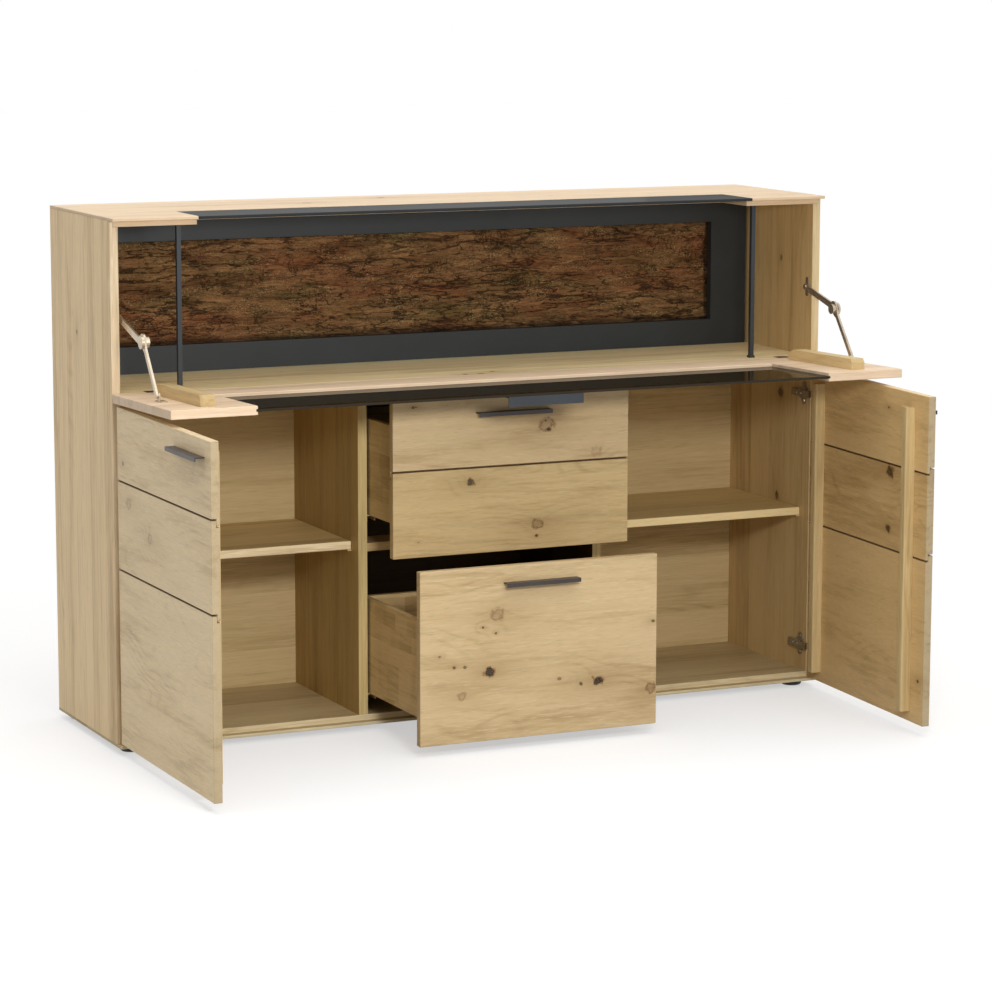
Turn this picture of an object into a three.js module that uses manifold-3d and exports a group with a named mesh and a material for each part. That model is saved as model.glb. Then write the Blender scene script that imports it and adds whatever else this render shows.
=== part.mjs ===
// Highboard with a fold-down glass flap, two hinged doors and two drawers, shown open.
// Lengths are millimetres. X runs along the width, Y from the front to the back, Z up.
// The origin is the middle of the centre foot's floor face.

import * as THREE from "three";
import { mergeVertices } from "three/addons/utils/BufferGeometryUtils.js";
import Module from "manifold-3d";

const wasm = await Module();
wasm.setup();

// Carcass sizes
const cabinetWidth = 1800;
const cabinetHeight = 1206;
const carcassDepth = 428;
const sideThickness = 20;
const lipThickness = 7;
const lipOverhang = 22;
const layerThickness = 13;
const shoulderWidth = 9;
const backThickness = 8;
const backInset = 22;
const backGrooveDepth = 6;
const deckTop = 817;
const deckThickness = 22;
const drawerBayWidth = 580;
const dividerThickness = 22;
const shelfThickness = 19;
const shelfBottom = 420;
const shelfSetback = 42;
const shelfSideGap = 0.7;
const shelfBackGap = 6;
const railDepth = 90;

// Small parts of the carcass
const footHeight = 16;
const footRadius = 25;
const footSoleRadius = 22;
const footRounding = 3;
const footSideInset = 43;
const footEdgeInset = 32;
const pinRadius = 2.5;
const pinReach = 9;
const pinFrontInset = 45;
const pinBackInset = 55;
const topCutHalfWidth = 700;
const topCutDepth = 129;
const topGlassLedge = 4;
const topGlassThickness = 6.4;
const seatGap = 0.3;
const overrun = 5;

// Back frame, bark inlay and posts of the open compartment
const frameSetback = 323;
const frameThickness = 20;
const frameSideGap = 5;
const frameEndWidth = 98;
const frameBandShare = 0.1707;
const barkCover = 12;
const barkThickness = 14;
const barkRelief = 6;
const barkPlateLength = 24;
const barkFaceShare = 0.999;
const barkRidgeTurns = 61;
const barkRidgeLean = 3;
const barkPatchTurns = 23;
const barkPatchLean = 5;
const postSize = 10;
const postFootSize = 14;
const postFootHeight = 5;
const postSideInset = 150;
const postSetback = 30;

// Doors and drawer fronts
const frontThickness = 19;
const frontStandoff = 1.5;
const frontSideReveal = 2;
const frontBottomReveal = 2.5;
const frontTopReveal = 5;
const drawerFrontWidth = 594;
const doorDrawerGap = 4;
const drawerGap = 5;
const upperJointHeight = 626;
const lowerJointHeight = 425.5;
const jointWidth = 3;
const edgeEase = 1;
const lapHeight = 14;
const lapGap = 0.3;
const outerLapShare = 0.62;
const doorPivotInset = 6.25;
const doorPivotDepth = 2.25;
const leftDoorOpenAngle = 90;
const rightDoorOpenAngle = 86.2;
const battenWidth = 23;
const battenThickness = 24;
const battenEdgeRadius = 4;
const battenBottomInset = 25;
const battenTopInset = 31;
const hingeBattenInset = 54.5;
const freeBattenInset = 60;
const cupRadius = 17.5;
const cupDepth = 12;
const cupInset = 22.5;
const upperHingeDrop = 66;
const lowerHingeRise = 75.5;

// Cup hinge arm, measured from the side panel's inner face and front edge
const hingeArmHeight = 16;
const hingePlateHeight = 56;
const hingePlateWidth = 18;
const hingePlateThickness = 3;
const hingePlateSetback = 28;
const hingeBlockHeight = 26;
const hingeBlockWidth = 30;
const hingeBlockThickness = 6;
const hingeScrewRadius = 4;
const hingeScrewHeadHeight = 1.4;
const hingeAdjusterSpacing = 22;
const hingeArmEnd = 77;
const hingeArmStart = 14;
const hingeArmThickness = 12;
const hingeNoseReach = 12.8;
const hingeNoseLift = 5.6;
const hingeNoseThickness = 6;
const hingeHeelTaper = 6;

// Handles
const handleLength = 184;
const handleReach = 22;
const handleLip = 9;
const handleThickness = 2.5;
const handleDrop = 37;
const doorHandleInset = 34;
const flapHandleShift = -20;
const flapHandleFlange = 20;

// Drawers
const boxWallThickness = 14;
const boxLength = 350;
const boxSideGap = 6;
const boxBottomThickness = 8;
const boxBottomRecess = 12;
const boxHeight = 223;
const upperBoxRise = 76;
const lowerBoxRise = 59;
const upperDrawerPull = 147.5;
const lowerDrawerPull = 298;
const runnerThickness = 2;
const runnerFlange = 22;
const runnerDrop = 14;
const runnerFrontInset = 4;

// Flap
const flapThickness = 20;
const flapTopReveal = 3;
const flapDeckCover = 5;
const flapDeckGap = 3;
const flapRestAngle = 1.5;
const flapCutHalfWidth = 703;
const flapRailShare = 0.3073;
const flapGrooveDepth = 4;
const flapGrooveHeight = 6;
const flapGlassThickness = 5.4;
const flapBattenHeight = 25;
const flapBattenWidth = 34;
const flapBattenInset = 97;
const flapBattenStartShare = 0.1354;
const flapBattenEndShare = 0.0964;
const flapBattenBackTaper = 22;
const flapBattenFrontTaper = 6;
const flapBattenTaperDrop = 9;

// Flap hinges
const flapHingeInset = 97;
const flapHingeLength = 34;
const flapHingeLeafDepth = 24;
const flapHingeLeafThickness = 2.2;
const flapHingeBarrelRadius = 2.8;
const flapHingeClearance = 1;

// Flap stays
const stayPivotSetback = 20;
const stayPivotRiseShare = 0.45257;
const stayElbowReachShare = 0.38542;
const stayElbowDropShare = 0.10417;
const stayFootReachShare = 0.54167;
const stayFootRise = 14;
const stayPlateThickness = 3;
const stayPlateHeight = 46;
const stayPlateWidth = 13;
const stayScrewRadius = 2.9;
const stayScrewSeatRadius = 3.7;
const stayScrewSeatDepth = 1;
const stayArmThickness = 5;
const stayLayerGap = 0.4;
const stayPinRadius = 3.4;
const stayHoleClearance = 0.4;
const stayPinHeadRadius = 6;
const stayPinHeadHeight = 1.5;
const stayShoulderRadius = 6.8;
const stayArmEndRadius = 8;
const stayElbowRadius = 15;
const stayKnuckleRadius = 14;
const stayKnuckleShift = 6;
const stayKnuckleLength = 20;
const stayDrumRadius = 12;
const stayDrumHeight = 8;
const stayEyeRadius = 5.5;
const stayEarThickness = 3;
const stayEarRadius = 6.5;
const stayFootWidth = 16;
const stayFootThickness = 2.5;
const stayFootLength = 40;

// Facet counts
const roundSegments = 24;
const smallRoundSegments = 16;
const barkRows = 11;
const easeSegments = 1;

// Worked-out places, with Y counted from the front edge of the carcass
const halfWidth = cabinetWidth / 2;
const innerHalf = halfWidth - sideThickness;
const layerHalf = halfWidth - shoulderWidth;
const bottomLipTop = footHeight + lipThickness;
const floorTop = bottomLipTop + layerThickness;
const topLipBottom = cabinetHeight - lipThickness;
const ceiling = topLipBottom - layerThickness;
const deckBottom = deckTop - deckThickness;
const backFront = carcassDepth - backInset - backThickness;
const bayHalf = drawerBayWidth / 2;
const dividerOuter = bayHalf + dividerThickness;
const shelfTop = shelfBottom + shelfThickness;
const compartmentHeight = ceiling - deckTop;
const frameBandHeight = frameBandShare * compartmentHeight;

const frontInnerY = -frontStandoff;
const frontOuterY = frontInnerY - frontThickness;
const frontBottom = bottomLipTop + frontBottomReveal;
const frontTop = deckBottom - frontTopReveal;
const doorHingeX = halfWidth - frontSideReveal;
const doorFreeX = drawerFrontWidth / 2 + doorDrawerGap;
const doorPivotX = doorHingeX - doorPivotInset;
const doorPivotY = frontOuterY + doorPivotDepth;
const upperHingeZ = frontTop - upperHingeDrop;
const lowerHingeZ = frontBottom + lowerHingeRise;

const flapLength = topLipBottom - flapTopReveal - deckTop + flapDeckCover;
const flapRailDepth = flapRailShare * flapLength;
const flapPivotReach = (flapDeckCover + frontStandoff + flapDeckGap) / 2;
const flapPivotY = -flapPivotReach;
const flapPivotZ = deckTop - flapPivotReach + frontStandoff;
const flapFaceZ = deckTop - flapPivotZ;
const flapBackY = -flapDeckGap - flapPivotY;
const flapFrontY = flapBackY - flapLength;

// Geometry helpers

function boxBetween(x0, x1, y0, y1, z0, z1) {
  const geometry = new THREE.BoxGeometry(Math.abs(x1 - x0), Math.abs(y1 - y0), Math.abs(z1 - z0));
  geometry.translate((x0 + x1) / 2, (y0 + y1) / 2, (z0 + z1) / 2);
  return geometry;
}

function polygon(points) {
  return new THREE.Shape(points.map(([x, y]) => new THREE.Vector2(x, y)));
}

// The outline of a board whose outer corners are taken off by the ease of its edges.
function easedPolygon(points) {
  const area = THREE.ShapeUtils.area(polygon(points).getPoints());
  const outline = [];
  points.forEach((corner, index) => {
    const before = points.at(index - 1);
    const after = points[(index + 1) % points.length];
    const arrive = [corner[0] - before[0], corner[1] - before[1]];
    const leave = [after[0] - corner[0], after[1] - corner[1]];
    const bend = arrive[0] * leave[1] - arrive[1] * leave[0];
    if (bend * area > 0) {
      const back = edgeEase / Math.hypot(...arrive);
      const ahead = edgeEase / Math.hypot(...leave);
      outline.push([corner[0] - arrive[0] * back, corner[1] - arrive[1] * back]);
      outline.push([corner[0] + leave[0] * ahead, corner[1] + leave[1] * ahead]);
    } else {
      outline.push(corner);
    }
  });
  return polygon(outline);
}

function prism(shape, depth, segments = roundSegments) {
  return new THREE.ExtrudeGeometry(shape, { depth, bevelEnabled: false, curveSegments: segments });
}

// A prism whose end faces have eased edges all round.
function easedPrism(shape, depth) {
  const geometry = new THREE.ExtrudeGeometry(shape, {
    depth: depth - 2 * edgeEase,
    bevelEnabled: true,
    bevelSegments: easeSegments,
    bevelSize: edgeEase,
    bevelOffset: -edgeEase,
    bevelThickness: edgeEase
  });
  geometry.translate(0, 0, edgeEase);
  return geometry;
}

// A section drawn in X and Z, run along Y from y0 to y1.
function alongY(shape, y0, y1, make = prism) {
  const geometry = make(shape, y1 - y0);
  const turn = new THREE.Matrix4().makeBasis(
    new THREE.Vector3(1, 0, 0),
    new THREE.Vector3(0, 0, 1),
    new THREE.Vector3(0, -1, 0)
  );
  geometry.applyMatrix4(turn);
  geometry.translate(0, y1, 0);
  return geometry;
}

// A section drawn in Y and Z, run along X from x0 to x1.
function alongX(shape, x0, x1, make = prism) {
  const start = Math.min(x0, x1);
  const geometry = make(shape, Math.abs(x1 - x0));
  const turn = new THREE.Matrix4().makeBasis(
    new THREE.Vector3(0, 1, 0),
    new THREE.Vector3(0, 0, 1),
    new THREE.Vector3(1, 0, 0)
  );
  geometry.applyMatrix4(turn);
  geometry.translate(start, 0, 0);
  return geometry;
}

// A section drawn in X and Y, run along Z from z0 to z1.
function alongZ(shape, z0, z1, make = prism) {
  const geometry = make(shape, z1 - z0);
  geometry.translate(0, 0, z0);
  return geometry;
}

// A board along X with all its edges eased.
function easedBoard(x0, x1, y0, y1, z0, z1) {
  const section = easedPolygon([
    [y0, z0],
    [y1, z0],
    [y1, z1],
    [y0, z1]
  ]);
  return alongX(section, x0, x1, easedPrism);
}

function rodAlongX(radius, x0, x1, y, z, segments = smallRoundSegments) {
  const geometry = new THREE.CylinderGeometry(radius, radius, Math.abs(x1 - x0), segments);
  geometry.rotateZ(Math.PI / 2);
  geometry.translate((x0 + x1) / 2, y, z);
  return geometry;
}

function solidOf(geometry) {
  const bare = geometry.clone();
  bare.deleteAttribute("normal");
  bare.deleteAttribute("uv");
  const merged = mergeVertices(bare);
  const mesh = new wasm.Mesh({
    numProp: 3,
    vertProperties: new Float32Array(merged.getAttribute("position").array),
    triVerts: new Uint32Array(merged.getIndex().array)
  });
  return new wasm.Manifold(mesh);
}

function geometryOf(solid) {
  const mesh = solid.getMesh();
  const geometry = new THREE.BufferGeometry();
  geometry.setAttribute("position", new THREE.BufferAttribute(mesh.vertProperties, 3));
  geometry.setIndex(new THREE.BufferAttribute(mesh.triVerts, 1));
  const flat = geometry.toNonIndexed();
  flat.computeVertexNormals();
  return flat;
}

function cut(base, ...tools) {
  return geometryOf(tools.reduce((solid, tool) => solid.subtract(solidOf(tool)), solidOf(base)));
}

function join(base, ...others) {
  return geometryOf(others.reduce((solid, other) => solid.add(solidOf(other)), solidOf(base)));
}

// Finishes

const oakLight = [0xf0d7b9, 0.55, 0];
const oakSide = [0xc8b28f, 0.55, 0];
const oakFront = [0xcdaf82, 0.55, 0];
const oakInside = [0xb4966a, 0.6, 0];
const oakBatten = [0xa58a5f, 0.6, 0];
const anthracite = [0x373c3f, 0.45, 0.5];
const handleMetal = [0x4b5560, 0.4, 0.7];
const smokedGlass = [0x1e1c1a, 0.08, 0.1];
const barkBrown = [0x694e34, 0.9, 0];
const nickel = [0xc8c8c4, 0.25, 0.95];
const blackPlastic = [0x15171a, 0.5, 0];

function piece(name, geometry, finish) {
  const [color, roughness, metalness] = finish;
  const mesh = new THREE.Mesh(geometry, new THREE.MeshStandardMaterial({ color, roughness, metalness }));
  mesh.name = name;
  return mesh;
}

const sides = [
  ["left", -1],
  ["right", 1]
];

// Carcass pieces

// The side's ends are stepped: a thin outer shoulder covers the ends of the inner layers.
function sidePanel(hand) {
  const outline = polygon([
    [hand * halfWidth, bottomLipTop],
    [hand * layerHalf, bottomLipTop],
    [hand * layerHalf, floorTop],
    [hand * innerHalf, floorTop],
    [hand * innerHalf, ceiling],
    [hand * layerHalf, ceiling],
    [hand * layerHalf, topLipBottom],
    [hand * halfWidth, topLipBottom]
  ]);
  const board = alongY(outline, 0, carcassDepth, easedPrism);
  const grooved = cut(board, backGroove(hand * innerHalf, hand));
  return join(grooved, ...shelfPins(hand * innerHalf, -hand));
}

function backGroove(faceX, hand) {
  return boxBetween(
    faceX - hand * overrun,
    faceX + hand * backGrooveDepth,
    backFront - seatGap,
    backFront + backThickness + seatGap,
    floorTop,
    ceiling
  );
}

function shelfPins(faceX, direction) {
  const height = shelfBottom - pinRadius;
  const places = [pinFrontInset, backFront - pinBackInset];
  return places.map((y) =>
    rodAlongX(pinRadius, faceX - direction * overrun, faceX + direction * pinReach, y, height)
  );
}

function lipAndLayer(lipLow, lipHigh, layerLow, layerHigh) {
  const lip = easedBoard(-halfWidth, halfWidth, -lipOverhang, carcassDepth, lipLow, lipHigh);
  const layer = boxBetween(-layerHalf, layerHalf, 0, carcassDepth, layerLow, layerHigh);
  return join(lip, layer);
}

function topPanel() {
  const panel = lipAndLayer(topLipBottom, cabinetHeight, ceiling, topLipBottom);
  const glassSeat = boxBetween(
    -topCutHalfWidth,
    topCutHalfWidth,
    -lipOverhang - overrun,
    topCutDepth,
    topLipBottom,
    cabinetHeight + overrun
  );
  const lightWell = boxBetween(
    -topCutHalfWidth + topGlassLedge,
    topCutHalfWidth - topGlassLedge,
    -lipOverhang - overrun,
    topCutDepth - topGlassLedge,
    ceiling - overrun,
    cabinetHeight + overrun
  );
  return cut(panel, glassSeat, lightWell);
}

function topGlass() {
  return boxBetween(
    -topCutHalfWidth + seatGap,
    topCutHalfWidth - seatGap,
    -lipOverhang,
    topCutDepth - seatGap,
    topLipBottom,
    topLipBottom + topGlassThickness
  );
}

function deckPanel() {
  const board = boxBetween(-innerHalf, innerHalf, 0, carcassDepth, deckBottom, deckTop);
  const seats = sides.map(([, hand]) => {
    const middle = hand * (halfWidth - flapHingeInset);
    return boxBetween(
      middle - flapHingeLength / 2 - seatGap,
      middle + flapHingeLength / 2 + seatGap,
      -overrun,
      flapHingeLeafDepth + seatGap,
      deckTop - flapHingeLeafThickness - seatGap,
      deckTop + overrun
    );
  });
  return cut(board, ...seats);
}

// A divider carries the shelf pins on its outer face and two drawer runners on its inner face.
function divider(hand) {
  const board = boxBetween(hand * bayHalf, hand * dividerOuter, 0, backFront, floorTop, deckBottom);
  const runners = [upperBoxBottom, lowerBoxBottom].map((boxBottom) => runner(hand, boxBottom));
  return join(board, ...shelfPins(hand * dividerOuter, hand), ...runners);
}

function runner(hand, boxBottom) {
  const top = boxBottom - seatGap;
  const wall = hand * (bayHalf + runnerThickness);
  const web = hand * (bayHalf - runnerThickness);
  const tip = hand * (bayHalf - runnerFlange);
  const section = polygon([
    [wall, top],
    [tip, top],
    [tip, top - runnerDrop],
    [tip + hand * runnerThickness, top - runnerDrop],
    [tip + hand * runnerThickness, top - runnerThickness],
    [web, top - runnerThickness],
    [web, top - runnerDrop],
    [wall, top - runnerDrop]
  ]);
  return alongY(section, runnerFrontInset, runnerFrontInset + boxLength);
}

function backPanel(low, high) {
  const edge = innerHalf + backGrooveDepth - seatGap;
  return boxBetween(-edge, edge, backFront, backFront + backThickness, low + seatGap, high - seatGap);
}

function shelf(hand) {
  return easedBoard(
    hand * (dividerOuter + shelfSideGap),
    hand * (innerHalf - shelfSideGap),
    shelfSetback,
    backFront - shelfBackGap,
    shelfBottom,
    shelfTop
  );
}

function foot() {
  const profile = [
    [0, 0],
    [footSoleRadius, 0],
    [footRadius, footRounding],
    [footRadius, footHeight - seatGap],
    [0, footHeight - seatGap]
  ];
  const points = profile.map(([r, z]) => new THREE.Vector2(r, z));
  const geometry = new THREE.LatheGeometry(points, roundSegments);
  geometry.rotateX(Math.PI / 2);
  return geometry;
}

// Open compartment

function backFrame() {
  const outerX = innerHalf - frameSideGap;
  const openX = outerX - frameEndWidth;
  const low = deckTop + frameBandHeight;
  const high = ceiling - frameBandHeight;
  const outline = polygon([
    [-outerX, deckTop],
    [outerX, deckTop],
    [outerX, ceiling],
    [-outerX, ceiling]
  ]);
  outline.holes.push(
    new THREE.Path([
      new THREE.Vector2(-openX, low),
      new THREE.Vector2(-openX, high),
      new THREE.Vector2(openX, high),
      new THREE.Vector2(openX, low)
    ])
  );
  return alongY(outline, frameSetback, frameSetback + frameThickness);
}

// Bark stands in uneven plates: each cell of the face is pushed in by a smooth formula.
function barkPanel() {
  const half = innerHalf - frameSideGap - frameEndWidth + barkCover;
  const low = deckTop + frameBandHeight - barkCover;
  const high = ceiling - frameBandHeight + barkCover;
  const front = frameSetback + frameThickness;
  const columns = Math.round((2 * half) / barkPlateLength);
  const slab = new THREE.BoxGeometry(2 * half, barkThickness, high - low, columns, 1, barkRows);
  const position = slab.getAttribute("position");
  for (let i = 0; i < position.count; i += 1) {
    const alongShare = position.getX(i) / half;
    const upShare = (2 * position.getZ(i)) / (high - low);
    const offEdge = Math.max(Math.abs(alongShare), Math.abs(upShare)) < barkFaceShare;
    if (position.getY(i) < 0 && offEdge) {
      const ridge = Math.sin(alongShare * barkRidgeTurns + upShare * barkRidgeLean);
      const patch = Math.cos(alongShare * barkPatchTurns - upShare * barkPatchLean);
      const wave = ridge * patch;
      position.setY(i, position.getY(i) + (barkRelief * (1 + wave)) / 2);
    }
  }
  slab.translate(0, front + barkThickness / 2, (low + high) / 2);
  return slab;
}

function post(hand) {
  const x = hand * (innerHalf - postSideInset);
  const half = postSize / 2;
  const footHalf = postFootSize / 2;
  const y = postSetback;
  const bar = boxBetween(x - half, x + half, y - half, y + half, deckTop, ceiling);
  const shoe = boxBetween(
    x - footHalf,
    x + footHalf,
    y - footHalf,
    y + footHalf,
    deckTop,
    deckTop + postFootHeight
  );
  return join(bar, shoe);
}

// Boards of the doors and drawer fronts

// A board's section in Y and Z. A lapped edge has its joint at half thickness or so: the outer part
// stops at the shadow joint and the inner part laps behind the board below.
function boardSection(low, high, lappedLow, lappedHigh) {
  const outer = frontOuterY;
  const inner = frontInnerY;
  const lapY = outer + frontThickness * outerLapShare;
  const lowEdge = lappedLow ? low + jointWidth / 2 : low;
  const highEdge = lappedHigh ? high - jointWidth / 2 : high;
  const points = [[outer, lowEdge]];
  if (lappedLow) {
    points.push([lapY + lapGap / 2, lowEdge], [lapY + lapGap / 2, lowEdge - lapHeight]);
    points.push([inner, lowEdge - lapHeight]);
  } else {
    points.push([inner, lowEdge]);
  }
  if (lappedHigh) {
    points.push([inner, highEdge - lapHeight], [lapY - lapGap / 2, highEdge - lapHeight]);
    points.push([lapY - lapGap / 2, highEdge]);
  } else {
    points.push([inner, highEdge]);
  }
  points.push([outer, highEdge]);
  return easedPolygon(points);
}

function handleSection(faceY, top) {
  const tip = faceY - handleReach;
  return polygon([
    [faceY, top],
    [tip, top],
    [tip, top - handleLip],
    [tip + handleThickness, top - handleLip],
    [tip + handleThickness, top - handleThickness],
    [faceY, top - handleThickness]
  ]);
}

function roundedBatten(x0, x1, faceY, low, high) {
  const left = Math.min(x0, x1);
  const right = Math.max(x0, x1);
  const back = faceY + battenThickness;
  const r = battenEdgeRadius;
  const outline = new THREE.Shape();
  outline.moveTo(left, faceY);
  outline.lineTo(right, faceY);
  outline.lineTo(right, back - r);
  outline.absarc(right - r, back - r, r, 0, Math.PI / 2);
  outline.lineTo(left + r, back);
  outline.absarc(left + r, back - r, r, Math.PI / 2, Math.PI);
  return prismWithFewArcs(outline, low, high);
}

function prismWithFewArcs(outline, low, high) {
  const geometry = prism(outline, high - low, smallRoundSegments / 4);
  geometry.translate(0, 0, low);
  return geometry;
}

// Door

function cupHole(x, z) {
  const hole = new THREE.CylinderGeometry(cupRadius, cupRadius, cupDepth + overrun, roundSegments);
  hole.translate(x, frontInnerY - cupDepth + (cupDepth + overrun) / 2, z);
  return hole;
}

function door(side, hand, openAngle) {
  const group = new THREE.Group();
  const hingeX = hand * (doorHingeX - doorPivotX);
  const freeX = hand * (doorFreeX - doorPivotX);
  const cupX = hingeX - hand * cupInset;
  const boards = [
    ["top", upperJointHeight, frontTop, true, false, upperHingeZ],
    ["middle", lowerJointHeight, upperJointHeight, true, true, null],
    ["bottom", frontBottom, lowerJointHeight, false, true, lowerHingeZ]
  ];
  const shifted = (geometry) => geometry.translate(0, -doorPivotY, 0);
  for (const [place, low, high, lappedLow, lappedHigh, cupZ] of boards) {
    let board = alongX(boardSection(low, high, lappedLow, lappedHigh), hingeX, freeX, easedPrism);
    if (cupZ !== null) {
      board = cut(board, cupHole(cupX, cupZ));
    }
    group.add(piece(`door_${side}_board_${place}`, shifted(board), oakFront));
  }
  const battens = [
    ["hinge", hingeX - hand * hingeBattenInset],
    ["free", freeX + hand * (freeBattenInset + battenWidth)]
  ];
  for (const [place, start] of battens) {
    const batten = roundedBatten(
      start,
      start - hand * battenWidth,
      frontInnerY + seatGap,
      frontBottom + battenBottomInset,
      frontTop - battenTopInset
    );
    group.add(piece(`door_${side}_batten_${place}`, shifted(batten), oakBatten));
  }
  const handleStart = freeX + hand * doorHandleInset;
  const handle = alongX(
    handleSection(frontOuterY - seatGap, frontTop - handleDrop),
    handleStart,
    handleStart + hand * handleLength
  );
  group.add(piece(`door_${side}_handle`, shifted(handle), handleMetal));
  group.position.set(hand * doorPivotX, doorPivotY, 0);
  group.rotation.z = hand * THREE.MathUtils.degToRad(openAngle);
  return group;
}

// A hinge arm seen from above: it leaves its wall plate and its nose reaches into the cup.
function doorHinge(hand, height) {
  const wall = innerHalf;
  const at = (off, y) => [hand * (wall - off), y];
  const arm = polygon([
    at(0, hingeArmStart),
    at(hingeNoseLift, 0),
    at(hingeNoseLift, -hingeNoseReach),
    at(hingeNoseLift + hingeNoseThickness, -hingeNoseReach),
    at(hingeArmThickness, 0),
    at(hingeArmThickness, hingeArmEnd - hingeHeelTaper),
    at(hingeArmThickness - hingeHeelTaper, hingeArmEnd),
    at(0, hingeArmEnd)
  ]);
  const body = alongZ(arm, height - hingeArmHeight / 2, height + hingeArmHeight / 2);
  const plateRise = (hingePlateHeight - hingePlateWidth) / 2;
  const ends = [-1, 1].map((way) => [hingePlateSetback, height + way * plateRise]);
  const oval = linkShape(ends[0], ends[1], hingePlateWidth / 2, hingePlateWidth / 2, []);
  const plate = linkAlongX(oval, hand * wall, hand * (wall - hingePlateThickness));
  const block = boxBetween(
    hand * wall,
    hand * (wall - hingeBlockThickness),
    hingePlateSetback - hingeBlockWidth / 2,
    hingePlateSetback + hingeBlockWidth / 2,
    height - hingeBlockHeight / 2,
    height + hingeBlockHeight / 2
  );
  const screws = ends.map(([y, z]) => hingeScrew(hand, y, z, hingePlateThickness));
  const adjusters = [-1, 1].map((way) => {
    const y = hingePlateSetback + hingeAdjusterSpacing / 2 + (way * hingeAdjusterSpacing) / 2;
    return hingeScrew(hand, y, height, hingeArmThickness);
  });
  return join(body, plate, block, ...screws, ...adjusters);
}

function hingeScrew(hand, y, z, seat) {
  const tip = innerHalf - seat - hingeScrewHeadHeight;
  return rodAlongX(hingeScrewRadius, hand * innerHalf, hand * tip, y, z);
}

// Drawers

const boxHalf = bayHalf - boxSideGap;
const upperBoxBottom = lowerJointHeight + drawerGap / 2 + upperBoxRise;
const lowerBoxBottom = frontBottom + lowerBoxRise;

function drawerBox(bottom) {
  const start = frontInnerY;
  const end = start + boxLength;
  const top = bottom + boxHeight;
  const block = boxBetween(-boxHalf, boxHalf, start, end, bottom, top);
  const inside = boxBetween(
    -boxHalf + boxWallThickness,
    boxHalf - boxWallThickness,
    start - overrun,
    end - boxWallThickness,
    bottom + boxBottomRecess + boxBottomThickness,
    top + overrun
  );
  const below = boxBetween(
    -boxHalf + boxWallThickness,
    boxHalf - boxWallThickness,
    start - overrun,
    end - boxWallThickness,
    bottom - overrun,
    bottom + boxBottomRecess
  );
  return cut(block, inside, below);
}

function drawer(name, fronts, boxBottom, pull) {
  const group = new THREE.Group();
  const half = drawerFrontWidth / 2;
  for (const [suffix, low, high, lappedLow, lappedHigh] of fronts) {
    const board = alongX(boardSection(low, high, lappedLow, lappedHigh), -half, half, easedPrism);
    group.add(piece(`${name}_${suffix}`, board, oakFront));
  }
  const top = fronts[fronts.length - 1][2];
  const handle = alongX(handleSection(frontOuterY, top - handleDrop), -handleLength / 2, handleLength / 2);
  group.add(piece(`${name}_box`, drawerBox(boxBottom), oakInside));
  group.add(piece(`${name}_handle`, handle, handleMetal));
  group.position.y = -pull;
  return group;
}

// Flap, drawn lying flat with its pivot at the local origin and its inner face up

function flapBoard() {
  const outline = easedPolygon([
    [-halfWidth, flapBackY],
    [halfWidth, flapBackY],
    [halfWidth, flapFrontY],
    [flapCutHalfWidth, flapFrontY],
    [flapCutHalfWidth, flapBackY - flapRailDepth],
    [-flapCutHalfWidth, flapBackY - flapRailDepth],
    [-flapCutHalfWidth, flapFrontY],
    [-halfWidth, flapFrontY]
  ]);
  const board = alongZ(outline, flapFaceZ - flapThickness, flapFaceZ, easedPrism);
  const middle = flapFaceZ - flapThickness / 2;
  const groove = boxBetween(
    -flapCutHalfWidth - flapGrooveDepth,
    flapCutHalfWidth + flapGrooveDepth,
    flapBackY - flapRailDepth + flapGrooveDepth,
    flapFrontY - overrun,
    middle - flapGrooveHeight / 2,
    middle + flapGrooveHeight / 2
  );
  const reach = flapHingeBarrelRadius + flapHingeClearance;
  const notches = sides.map(([, hand]) => {
    const x = hand * (halfWidth - flapHingeInset);
    return boxBetween(
      x - flapHingeLength / 2 - flapHingeClearance,
      x + flapHingeLength / 2 + flapHingeClearance,
      -reach,
      flapBackY + overrun,
      -reach,
      flapFaceZ + overrun
    );
  });
  return cut(board, groove, ...notches);
}

function flapGlass() {
  const middle = flapFaceZ - flapThickness / 2;
  return boxBetween(
    -flapCutHalfWidth - flapGrooveDepth + seatGap,
    flapCutHalfWidth + flapGrooveDepth - seatGap,
    flapBackY - flapRailDepth + flapGrooveDepth - seatGap,
    flapFrontY,
    middle - flapGlassThickness / 2,
    middle + flapGlassThickness / 2
  );
}

function flapHandle() {
  const under = flapFaceZ - flapThickness / 2 - flapGlassThickness / 2 - seatGap;
  const section = polygon([
    [flapFrontY, under],
    [flapFrontY, under - handleReach],
    [flapFrontY + handleThickness, under - handleReach],
    [flapFrontY + handleThickness, under - handleThickness],
    [flapFrontY + flapHandleFlange, under - handleThickness],
    [flapFrontY + flapHandleFlange, under]
  ]);
  return alongX(section, flapHandleShift - handleLength / 2, flapHandleShift + handleLength / 2);
}

function flapBatten(hand) {
  const middle = hand * (halfWidth - flapBattenInset);
  const back = flapBackY - flapBattenStartShare * flapLength;
  const front = flapFrontY + flapBattenEndShare * flapLength;
  const base = flapFaceZ + seatGap;
  const top = base + flapBattenHeight;
  const section = polygon([
    [back, base],
    [front, base],
    [front, top - flapBattenTaperDrop],
    [front + flapBattenFrontTaper, top],
    [back - flapBattenBackTaper, top],
    [back, top - flapBattenTaperDrop]
  ]);
  return alongX(section, middle - flapBattenWidth / 2, middle + flapBattenWidth / 2);
}

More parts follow.
